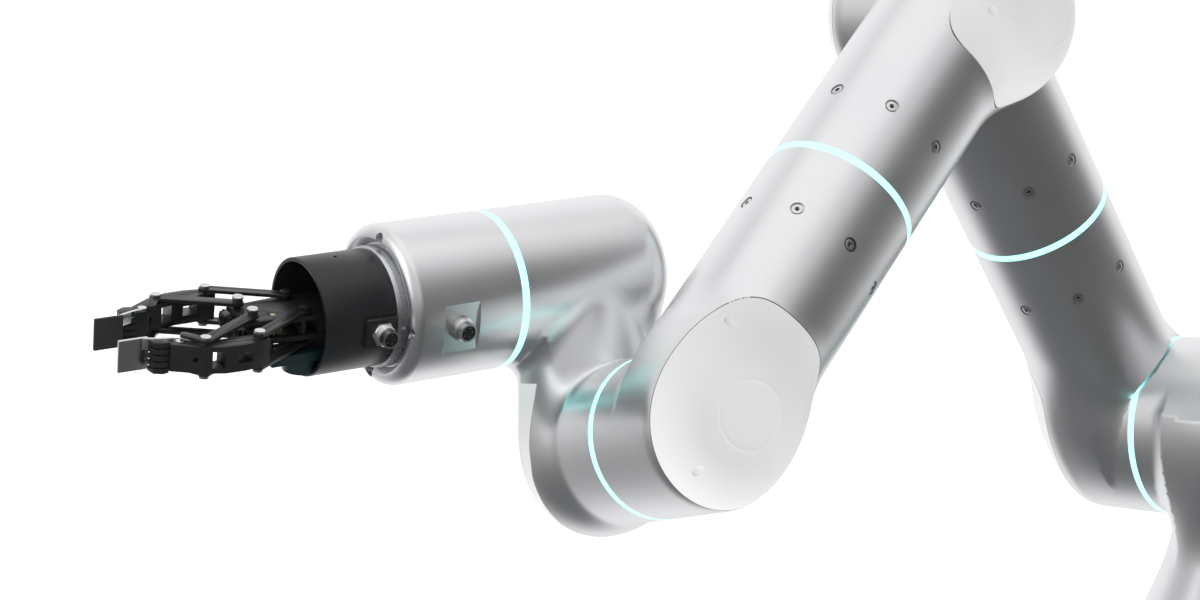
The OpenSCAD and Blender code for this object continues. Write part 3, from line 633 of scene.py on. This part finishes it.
def make_elbows():
    # dims: barrel radius, tube radius, tube's x, y and length, crown, mating radius, the barrel's start
    ring = [(-1.0, 6.0, 20.0)]
    dims = (SHOULDER_R, UPPER_R, 0, J3_SIDE, J3_RISE - RING_HALF, 82, SHOULDER_R, CHILD_START)
    elbow("upper_arm_lower", "upper_arm_lower", LINK2, "upper_arm_lower_shell", "upper_arm_lower_cap",
          dims, 67, 84, [(36, 44, 2.9), (-6, -46, 2.9)], ring)
    dims = (UPPER_R, UPPER_R, -ELBOW_OFFSET, J4_SIDE, J4_RISE - CHILD_START, 82, UPPER_R, RING_HALF)
    elbow("upper_arm_upper", "upper_arm_upper", ELBOW @ turn("Y", 180), "upper_arm_upper_shell",
          "upper_arm_upper_cap", dims, 67, 78, [(-42, 45, 2.9), (3, -38, 2.9)], ring)
    dims = (UPPER_R, FOREARM_R, -ELBOW_OFFSET, J5_SIDE, J5_RISE - RING_HALF, 70, UPPER_R, CHILD_START)
    elbow("forearm_lower", "forearm_lower", LINK4, "forearm_lower_shell", "forearm_lower_cap",
          dims, 58, 78, [(-42, 45, 2.9), (3, -38, 2.9)], [(8.0, -6.0, 20.0)])
    dims = (WRIST_R, FOREARM_R, 0, J6_SIDE, J6_RISE - CHILD_START, 80, WRIST_R, RING_HALF)
    elbow("forearm_upper", "forearm_upper", WRIST @ turn("X", 180), "forearm_upper_shell",
          "forearm_upper_cap", dims, 61.5, 77.5, [(35.6, 47.4, 2.9), (3.3, -37.7, 2.9)],
          [(-2.0, 7.2, 20.0)])


def make_shoulder():
    lo, hi = (-70, -72, -40), (70, 92, 280)
    whole = level_surface("shoulder_whole", shoulder_field, lo, hi)
    carve(whole, block("under", (-300, -300, -300), (300, 300, CHILD_START)))
    seam = shift(0, J2_SIDE, J2_RISE) @ turn("X", 180)
    room = placed(rod("mate", SHOULDER_R + 1.5, -300, RING_HALF, 192), seam @ ALONG_Y)
    carve(whole, room)
    cap = link_object("shoulder_cap_skin", whole.data.copy())
    carve(cap, placed(beyond_seam(SHOULDER_SEAM, SHOULDER_SEAM_TOP, -SEAM_GAP), seam), "INTERSECT")
    true_normals(cap, shoulder_field)
    # the strip under the seam gap, coloured dark grey as painted shade of the gap
    inner = level_surface("shoulder_seam_shade", shoulder_field, lo, hi, offset=1.1)
    carve(inner, placed(seam_strip(SHOULDER_SEAM, SHOULDER_SEAM_TOP), seam), "INTERSECT")
    carve(whole, placed(beyond_seam(SHOULDER_SEAM, SHOULDER_SEAM_TOP, SEAM_GAP), seam))
    true_normals(whole, shoulder_field)
    whole.name = "shoulder_shell_skin"
    settle_in(whole, LINK1, "shoulder", SILVER, ("shoulder_shell",))
    settle_in(cap, LINK1, "shoulder", WHITE, ("shoulder_cap",))
    settle_in(shade(inner), LINK1, "shoulder", SEAM_SHADE)


def make_wrist():
    lo, hi = (-120, -62, -50), (62, 126, 160)
    whole = level_surface("wrist_whole", wrist_field, lo, hi)
    collar = lathe("collar", [(49.4, -200), (300, -200), (300, 25.9), (49.4, 25.9)], 192, closed=True)
    carve(whole, placed(collar, ALONG_Y))
    carve(whole, placed(rod("mate", 60, -300, CHILD_START, 96), ALONG_Y))
    carve(whole, block("end", (-400, -400, -400), (-J7_REACH + RING_HALF, 400, 400)))

    def zone(near, far=300.0, top=WRIST_SEAM_TOP):
        slab = block("slab", (-300, near, -346), (300, far, top))
        return placed(slab, shift(0, WRIST_SEAM_Y, 0) @ turn("X", WRIST_SEAM_LEAN))

    cap = link_object("wrist_cap_skin", whole.data.copy())
    carve(cap, zone(SEAM_GAP), "INTERSECT")
    true_normals(cap, wrist_field)
    # the strip under the seam gap, coloured dark grey as painted shade of the gap
    inner = level_surface("wrist_seam_shade", wrist_field, lo, hi, offset=1.1)
    carve(inner, zone(-SEAM_SHADE_HALF, SEAM_SHADE_HALF, WRIST_SEAM_TOP - 2), "INTERSECT")
    carve(whole, zone(-SEAM_GAP))
    true_normals(whole, wrist_field)
    whole.name = "wrist_shell_skin"
    settle_in(whole, LINK6, "wrist", SILVER, ("wrist_shell",))
    settle_in(cap, LINK6, "wrist", WHITE, ("wrist_cap",))
    settle_in(shade(inner), LINK6, "wrist", SEAM_SHADE)


def make_base():
    lo, hi = (-98, -98, -60), (98, 98, 200)
    whole = level_surface("base_casting_skin", base_field, lo, hi)
    carve(whole, block("under", (-300, -300, -300), (300, 300, 0)))
    carve(whole, block("over", (-300, -300, BASE_H - RING_HALF), (300, 300, 400)))
    carve(whole, block("flat", (88.9, -150, -20), (150, 150, 200)))
    carve(whole, block("recess", (79, -34, 16), (120, 34, 72)))
    holes = []
    for i in range(4):
        spot = turn("Z", 90 * i + 45) @ shift(85, 0, 0)
        holes.append(placed(rod("hole", 4.5, -5, 40, 48), spot))
    carve(whole, combined("holes", holes))
    holes = []
    for i in range(4):
        spot = turn("Z", 90 * i + 45) @ shift(85, 0, 0)
        holes.append(placed(rod("hole", 8.5, 9.5, 60, 48), spot))
    carve(whole, combined("holes", holes))
    true_normals(whole, base_field)
    settle_in(whole, shift(0, 0, 0), "base", SILVER, ("base_casting",))


# ---- rings, screws and connectors ----

def make_ring(node, body, matrix, r):
    """A light band round a joint, flush with the shells."""
    profile = [(r - 5.2, -RING_HALF), (r - 0.3, -RING_HALF), (r - 0.08, -1.9), (r - 0.05, 0),
               (r - 0.08, 1.9), (r - 0.3, RING_HALF), (r - 5.2, RING_HALF)]
    ring = lathe(node + "_band", profile, 256, closed=True)
    settle_in(shade(ring, 50), matrix, body, GLOW, (node,))


def make_rings():
    make_ring("j1_light_ring", "base", LINK1, SHOULDER_R)
    make_ring("j2_light_ring", "shoulder", LINK2 @ ALONG_Y, SHOULDER_R)
    make_ring("j3_light_ring", "upper_arm_lower", LINK3, UPPER_R)
    make_ring("j4_light_ring", "upper_arm_upper", LINK4 @ ALONG_Y, UPPER_R)
    make_ring("j5_light_ring", "forearm_lower", LINK5, FOREARM_R)
    make_ring("j6_light_ring", "forearm_upper", LINK6 @ ALONG_Y, WRIST_R)
    make_ring("j7_light_ring", "wrist", TOOL, TOOL_R)


def socket_head(r, h, hex_r=1.7, deep=1.3):
    """A socket-head screw's head on z = 0, with a hexagonal socket."""
    head = lathe("head", [(0, 0), (r, 0), (r, h), (0, h)], 48, size=0.45)
    a = [2 * math.pi * i / 6 for i in range(6)]
    low = [(hex_r * math.cos(t), hex_r * math.sin(t), h - deep) for t in a]
    high = [(hex_r * math.cos(t), hex_r * math.sin(t), h + 2) for t in a]
    faces = [tuple(range(5, -1, -1)), tuple(range(6, 12))]
    faces += [(i, (i + 1) % 6, (i + 1) % 6 + 6, i + 6) for i in range(6)]
    carve(head, link_object("hex", mesh_of("hex", low + high, faces)))
    paint(head, STEEL)
    # a near-black cone at the socket's bottom: painted shade in the hex socket
    floor = lathe("floor", [(0, h - deep + 0.02), (hex_r * 0.84, h - deep + 0.02), (0, h - deep + 0.3)], 6)
    paint(floor, SHADE_AND_INSERT_BLACK)
    return combined("screw", [head, floor])


def screw_set(node, body, matrix, tube_r, special=None):
    """Eight clamp screws round a tube end whose end face is at z = 0 of the matrix."""
    parts = []
    for i in range(8):
        spot = turn("Z", i * 45) @ shift(tube_r - 2.5, 0, RING_HALF - SCREW_BACK) @ turn("Y", 90)
        parts.append(placed(socket_head(3.5, 2.1), spot))
        if i == special:
            profile = [(3.55, 0), (4.45, 0), (4.45, 2.55), (3.55, 2.55)]
            washer = lathe("collar", profile, 48, size=0.3, closed=True)
            parts.append(placed(paint(washer, RUBBER), spot))
    settle_in(shade(combined(node + "_heads", parts)), matrix, body, None, (node,))


def make_screws():
    upper = ELBOW @ turn("Y", 180) @ shift(-ELBOW_OFFSET, J4_SIDE, J4_RISE - CHILD_START)
    fore = WRIST @ turn("X", 180) @ shift(0, J6_SIDE, J6_RISE - CHILD_START)
    screw_set("upper_arm_lower_screws", "upper_arm_lower", LINK3 @ shift(0, 0, -RING_HALF), UPPER_R)
    screw_set("upper_arm_upper_screws", "upper_arm_upper", upper, UPPER_R)
    screw_set("forearm_lower_screws", "forearm_lower", JOINT5 @ shift(0, 0, -RING_HALF), FOREARM_R)
    screw_set("forearm_upper_screws", "forearm_upper", fore, FOREARM_R, special=2)


def threads(r, z0, z1, pitch=1.0, depth=0.45):
    """The zigzag profile of a thread, as rings."""
    profile, z = [], z0
    while z + pitch <= z1:
        profile += [(r - depth, z), (r, z + pitch / 2)]
        z += pitch
    return profile + [(r - depth, z)]


def round_connector(r_nut, r_thread, r_nose, length, sides):
    """A threaded round connector on z = 0 with a nut, a nose and a dark contact face."""
    nut = lathe("nut", [(0, 0), (r_nut, 0), (r_nut, 2.0), (0, 2.0)], sides, size=0.4)
    thread = threads(r_thread, 2.0, length * 0.6)
    top = thread[-1][1]
    bore, back, face = r_nose - 1.1, length - 2.4, length - 0.8
    nose = [(r_nose, top), (r_nose, length), (bore, length), (bore, back), (0, back)]
    barrel = lathe("barrel", [(0, 1)] + thread + nose, 64)
    disc = [(0, back - 0.1), (bore - 0.05, back - 0.1), (bore - 0.05, face), (0, face)]
    insert = lathe("insert", disc, 48, size=0.3)
    parts = [paint(nut, NICKEL), paint(barrel, NICKEL), paint(insert, SHADE_AND_INSERT_BLACK)]
    for i in range(5):
        a = 2 * math.pi * i / 5
        pin = rod("pin", 0.35, length - 1, length - 0.5, 16)
        placed(pin, shift((r_nose - 2.6) * math.cos(a), (r_nose - 2.6) * math.sin(a), 0))
        parts.append(paint(pin, NICKEL))
    return combined("connector", parts)


# ---- tool module ----

RIM_TOP, RIM_EDGE = 76.5, 7
RIM_SCREW_R, RIM_SCREW_Z = 42, 70
PLUG_Z = 44


def make_tool():
    profile = [(0, CHILD_START), (TOOL_R, CHILD_START)]
    for i in range(13):
        a = math.radians(90 * i / 12)
        profile.append((TOOL_R - RIM_EDGE * (1 - math.cos(a)), RIM_TOP - RIM_EDGE * (1 - math.sin(a))))
    profile += [(40.9, 76.3), (38.6, 73.4), (37.4, 71), (24, 71), (24, 62), (0, 62)]
    housing = lathe("tool_housing_skin", profile, 192)
    carve(housing, block("pocket", (46.1, -15, 32), (70, 15, 56)))
    seats = []
    for i in range(4):
        spot = turn("Z", 90 * i) @ shift(RIM_SCREW_R, 0, 0)
        seats.append(placed(rod("seat", 3.9, RIM_SCREW_Z, 90, 40), spot))
    carve(housing, combined("seats", seats))
    settle_in(shade(housing, 24), TOOL, "tool", SILVER, ("tool_housing",))

    heads = []
    for i in range(4):
        spot = turn("Z", 90 * i) @ shift(RIM_SCREW_R, 0, RIM_SCREW_Z + 0.1)
        heads.append(placed(socket_head(3.5, 3.4), spot))
    heads = shade(combined("tool_screw_heads", heads))
    settle_in(heads, TOOL, "tool", None, ("tool_screws",))

    plug = round_connector(7.4, 6.4, 5.6, 9.0, 64)
    plug.name = "tool_connector_body"
    spot = TOOL @ shift(46.2, 0, PLUG_Z) @ turn("Y", 90)
    settle_in(shade(plug), spot, "tool", None, ("tool_connector",))

    profile = [(0, 63), (23.8, 63), (23.8, 71.1), (36.3, 71.1), (36.3, TOOL_LEN), (0, TOOL_LEN)]
    plate = lathe("tool_flange_plate", profile, 128, size=0.8)
    settle_in(shade(plate), TOOL, "tool", PLATE, ("tool_flange",))


# ---- gripper: x towards the near finger, y along the pins, z out of the flange ----

GRIP_R = 35
MOUTH = 45.5                       # the cup's open end
DRIVE_PIVOT = (9.5, MOUTH + 35)
FINGER_END = MOUTH + 94
TIP_HALF = 9.6                     # half width of a fingertip


def softened(node, name, body, material, edge):
    """A machined part with its edges broken."""
    obj = link_object(name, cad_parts[node].data.copy())
    bm = bmesh.new()
    bm.from_mesh(obj.data)
    bmesh.ops.remove_doubles(bm, verts=bm.verts, dist=1e-6)
    bmesh.ops.dissolve_limit(bm, angle_limit=math.radians(1), verts=bm.verts, edges=bm.edges)
    bm.to_mesh(obj.data)
    bm.free()
    mod = obj.modifiers.new("edges", "BEVEL")
    mod.width = edge * MM
    mod.segments = 2
    mod.limit_method = "ANGLE"
    mod.angle_limit = math.radians(40)
    dg = bpy.context.evaluated_depsgraph_get()
    mesh = bpy.data.meshes.new_from_object(obj.evaluated_get(dg))
    obj.modifiers.clear()
    obj.data = mesh
    shade(paint(obj, material), 35)
    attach(obj, body)
    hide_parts(node)
    return obj


def buttons(name, body, side, low=13.3, r=3.4):
    """The rounded heads of a driver's shaft, on both sides of the finger."""
    heads = []
    for flip in (0, 180):
        head = lathe("head", [(0, low), (r, low), (r, low + 0.9), (r - 0.9, low + 1.5), (0, low + 1.7)], 48)
        spot = shift(side * DRIVE_PIVOT[0], 0, DRIVE_PIVOT[1])
        heads.append(placed(head, spot @ turn("X", flip) @ ALONG_Y))
    obj = combined(name, [paint(h, STEEL) for h in heads])
    return settle_in(shade(obj), FLANGE, body, None)


def make_grip_body():
    profile = [(9, 0), (GRIP_R, 0), (GRIP_R, MOUTH), (GRIP_R - 2.5, MOUTH), (GRIP_R - 2.5, 5), (9, 5)]
    body = lathe("gripper_body_skin", profile, 160, size=0.5, closed=True)
    carve(body, placed(rod("hole", 1.1, 20, 60, 32), shift(0, 0, 24) @ ALONG_Y))
    settle_in(shade(body), FLANGE, "tool", BLACK, ("gripper_body",))

    outline = [(33.2, 1), (38, 1), (38, 21), (33.2, 21)]
    seat = prism("gripper_connector_seat", outline, -9, 9, edge=0.8)
    settle_in(shade(seat), FLANGE, "tool", BLACK)
    plug = round_connector(7.6, 6.2, 5.4, 10.5, 6)
    plug.name = "gripper_connector_plug"
    spot = FLANGE @ shift(37.9, 0, 11) @ turn("Y", 90)
    settle_in(shade(plug), spot, "tool", None, ("gripper_connector",))


def make_fingertips():
    """Near side: a bright angled plate on a ribbed knuckle. Far side: a dark plate with a bright pad."""
    end = FINGER_END
    for side, name, tip in ((1, "near", TIP), (-1, "far", RUBBER)):
        mirror = FLANGE @ Matrix.Diagonal((side, 1, 1, 1))
        ribs = []
        outline = [(18.8, end), (26.8, end), (27.4, end + 4), (25, end + 8.6), (18.9, end + 9.6)]
        for i in range(5):
            y = -9.4 + 3.9 * i
            ribs.append(prism("rib", outline, y, y + 3.1, edge=0.35))
        outline = [(19.6, end), (26, end), (26.4, end + 4), (24, end + 7.8), (19.6, end + 8.6)]
        ribs.append(prism("core", outline, -9, 9))
        knuckle = combined(name + "_knuckle", ribs)
        settle_in(shade(knuckle), mirror, name + "_finger", BLACK)
        plate = [(15, end + 9), (17.2, end + 8), (17.2, end + 26), (15, end + 26)]
        pad = prism(name + "_tip_plate", plate, -TIP_HALF, TIP_HALF, edge=0.5)
        settle_in(shade(pad), mirror, name + "_finger", tip,
                  (name + "_fingertip",))
        arm, back = [], []
        for i in range(9):
            t = i / 8
            x = 15.2 + 3.6 * math.sin(math.pi * t * 0.5) + 1.6 * t
            z = end + 12 - 17 * t
            arm.append((x, z))
            back.append((x + 1.9, z + 0.6))
        strap = prism(name + "_tip_arm", arm + back[::-1], 2.5, 9.4, edge=0.4)
        settle_in(shade(strap), mirror, name + "_finger", TIP)


def make_gripper():
    make_grip_body()
    make_fingertips()
    softened("gripper_palm", "gripper_palm_frame", "tool", PALM, 0.35)
    softened("gripper_motor", "gripper_motor_case", "tool", TEAL, 0.6)
    for side, name in ((1, "near"), (-1, "far")):
        softened(name + "_driver", name + "_driver_links", name + "_driver", BLACK,
                 0.3)
        softened(name + "_follower", name + "_follower_links", name + "_follower", BLACK,
                 0.4)
        softened(name + "_finger", name + "_finger_body", name + "_finger", BLACK, 0.5)
        buttons(name + "_driver_heads", name + "_driver", side)


# ---- looks of the CAD nodes that stay ----

NODE_FINISH = {
    "base_plate": PANEL, "connector_panel": PANEL, "base_connectors": NICKEL,
    "gripper_body": BLACK, "gripper_connector": NICKEL, "gripper_motor": TEAL, "gripper_palm": PALM,
    "gripper_pinion": BRASS, "near_driver": BLACK, "near_follower": BLACK, "near_finger": BLACK,
    "near_fingertip": TIP, "near_pins": STEEL, "far_driver": BLACK, "far_follower": BLACK,
    "far_finger": BLACK, "far_fingertip": RUBBER, "far_pins": STEEL,
}


def dress_nodes():
    for name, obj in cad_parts.items():
        finish = NODE_FINISH.get(name)
        if finish is None:
            finish = DRIVE if name.endswith("_drive") else OUTPUT if name.endswith("_output") else SILVER
        obj.data.materials.clear()
        obj.data.materials.append(finish)


# ---- stage, light and camera ----

def make_stage():
    low = -0.0005      # just under the base, so that the two faces don't flicker
    corners = [(-40, -40, low), (40, -40, low), (40, 40, low), (-40, 40, low)]
    mesh = mesh_of("floor", corners, [(0, 1, 2, 3)])
    floor = link_object("floor", mesh)
    m, tree, bsdf = new_material("pale_floor")
    shade_of_floor = ramp(tree, noise(tree, 3.0), (0.93, 0.93, 0.93), (0.95, 0.95, 0.95))
    tree.links.new(shade_of_floor, bsdf.inputs["Base Color"])
    bsdf.inputs["Roughness"].default_value = 0.9
    bsdf.inputs["Emission Color"].default_value = (1, 1, 1, 1)
    bsdf.inputs["Emission Strength"].default_value = 0.5
    mesh.materials.append(m)
    floor.visible_glossy = False      # the metal mirrors the dark studio below it


def soft_light(name, where, towards, size, power, colour=(1, 1, 1)):
    data = bpy.data.lights.new(name, "AREA")
    data.shape = "RECTANGLE"
    data.size, data.size_y = size
    data.energy = power
    data.color = colour
    lamp = bpy.data.objects.new(name, data)
    bpy.context.scene.collection.objects.link(lamp)
    lamp.location = where
    lamp.rotation_euler = (Vector(towards) - Vector(where)).to_track_quat("-Z", "Y").to_euler()
    return lamp


def facing(tree, direction, full, none):
    """One where the world lies within full degrees of a direction, zero beyond none degrees."""
    dot = tree.nodes.new("ShaderNodeVectorMath")
    dot.operation = "DOT_PRODUCT"
    dot.inputs[1].default_value = Vector(direction).normalized()
    tree.links.new(tree.nodes["Texture Coordinate"].outputs["Generated"], dot.inputs[0])
    soft = tree.nodes.new("ShaderNodeMapRange")
    soft.interpolation_type = "SMOOTHSTEP"
    soft.inputs["From Min"].default_value = math.cos(math.radians(none))
    soft.inputs["From Max"].default_value = math.cos(math.radians(full))
    tree.links.new(dot.outputs["Value"], soft.inputs["Value"])
    return soft.outputs["Result"]


def mixed(tree, fac, under, value):
    mix = tree.nodes.new("ShaderNodeMix")
    mix.data_type = "RGBA"
    tree.links.new(fac, mix.inputs["Factor"])
    tree.links.new(under, mix.inputs["A"])
    mix.inputs["B"].default_value = (value, value, value * 1.01, 1)
    return mix.outputs["Result"]


def make_lights():
    world = bpy.data.worlds.new("studio")
    bpy.context.scene.world = world
    world.use_nodes = True
    tree = world.node_tree
    background = tree.nodes["Background"]
    coord = tree.nodes.new("ShaderNodeTexCoord")
    split = tree.nodes.new("ShaderNodeSeparateXYZ")
    tree.links.new(coord.outputs["Generated"], split.inputs["Vector"])
    level = tree.nodes.new("ShaderNodeValToRGB")
    level.color_ramp.interpolation = "B_SPLINE"
    stops = level.color_ramp.elements
    stops[0].position, stops[0].color = 0.0, (0.10, 0.105, 0.115, 1)
    stops[1].position, stops[1].color = 1.0, (0.80, 0.80, 0.80, 1)
    for at, v in ((0.25, 0.13), (0.42, 0.28), (0.55, 0.52), (0.72, 0.70), (0.88, 0.76)):
        e = stops.new(at)
        e.color = (v, v, v * 1.01, 1)
    height = tree.nodes.new("ShaderNodeMapRange")
    height.inputs["From Min"].default_value = -1.0
    height.inputs["From Max"].default_value = 1.0
    tree.links.new(split.outputs["Z"], height.inputs["Value"])
    tree.links.new(height.outputs["Result"], level.inputs["Fac"])

    # two black flags to the right, then the white backdrop wall on the +X +Y side
    light = mixed(tree, facing(tree, (0.52, -0.84, 0.14), 4, 42), level.outputs["Color"], 0.12)
    light = mixed(tree, facing(tree, (0.06, -0.80, -0.62), 15, 50), light, 0.09)
    light = mixed(tree, facing(tree, (0.70, 0.714, 0.0), 41, 75), light, 1.05)
    tree.links.new(light, background.inputs["Color"])
    background.inputs["Strength"].default_value = 1.0

    soft_light("top_soft", (-0.9, -0.3, 2.6), (-0.3, 0.1, 0.4), (2.4, 2.4), 5)
    soft_light("left_soft", (-2.6, 0.6, 1.3), (-0.4, 0.1, 0.45), (1.6, 1.8), 9)


def make_camera():
    data = bpy.data.cameras.new("camera")
    data.sensor_width = 36.0
    data.lens = 2524.88 / 1200 * 36.0
    data.clip_start, data.clip_end = 0.05, 200
    camera = bpy.data.objects.new("camera", data)
    bpy.context.scene.collection.objects.link(camera)
    right = Vector((0.714282, -0.699814, 0.007879))
    down = Vector((-0.033203, -0.04513, -0.998429))
    ahead = Vector((0.69907, 0.712898, -0.055472))
    rows = Matrix((right, -down, -ahead)).transposed()
    camera.matrix_world = shift(-1.61065, -0.99699, 0.55784) @ rows.to_4x4()
    bpy.context.scene.camera = camera
    bpy.context.scene.view_settings.view_transform = "Standard"


make_stage()
make_lights()
make_camera()
dress_nodes()
make_base()
make_shoulder()
make_elbows()
make_wrist()
make_rings()
make_screws()
make_tool()
make_gripper()
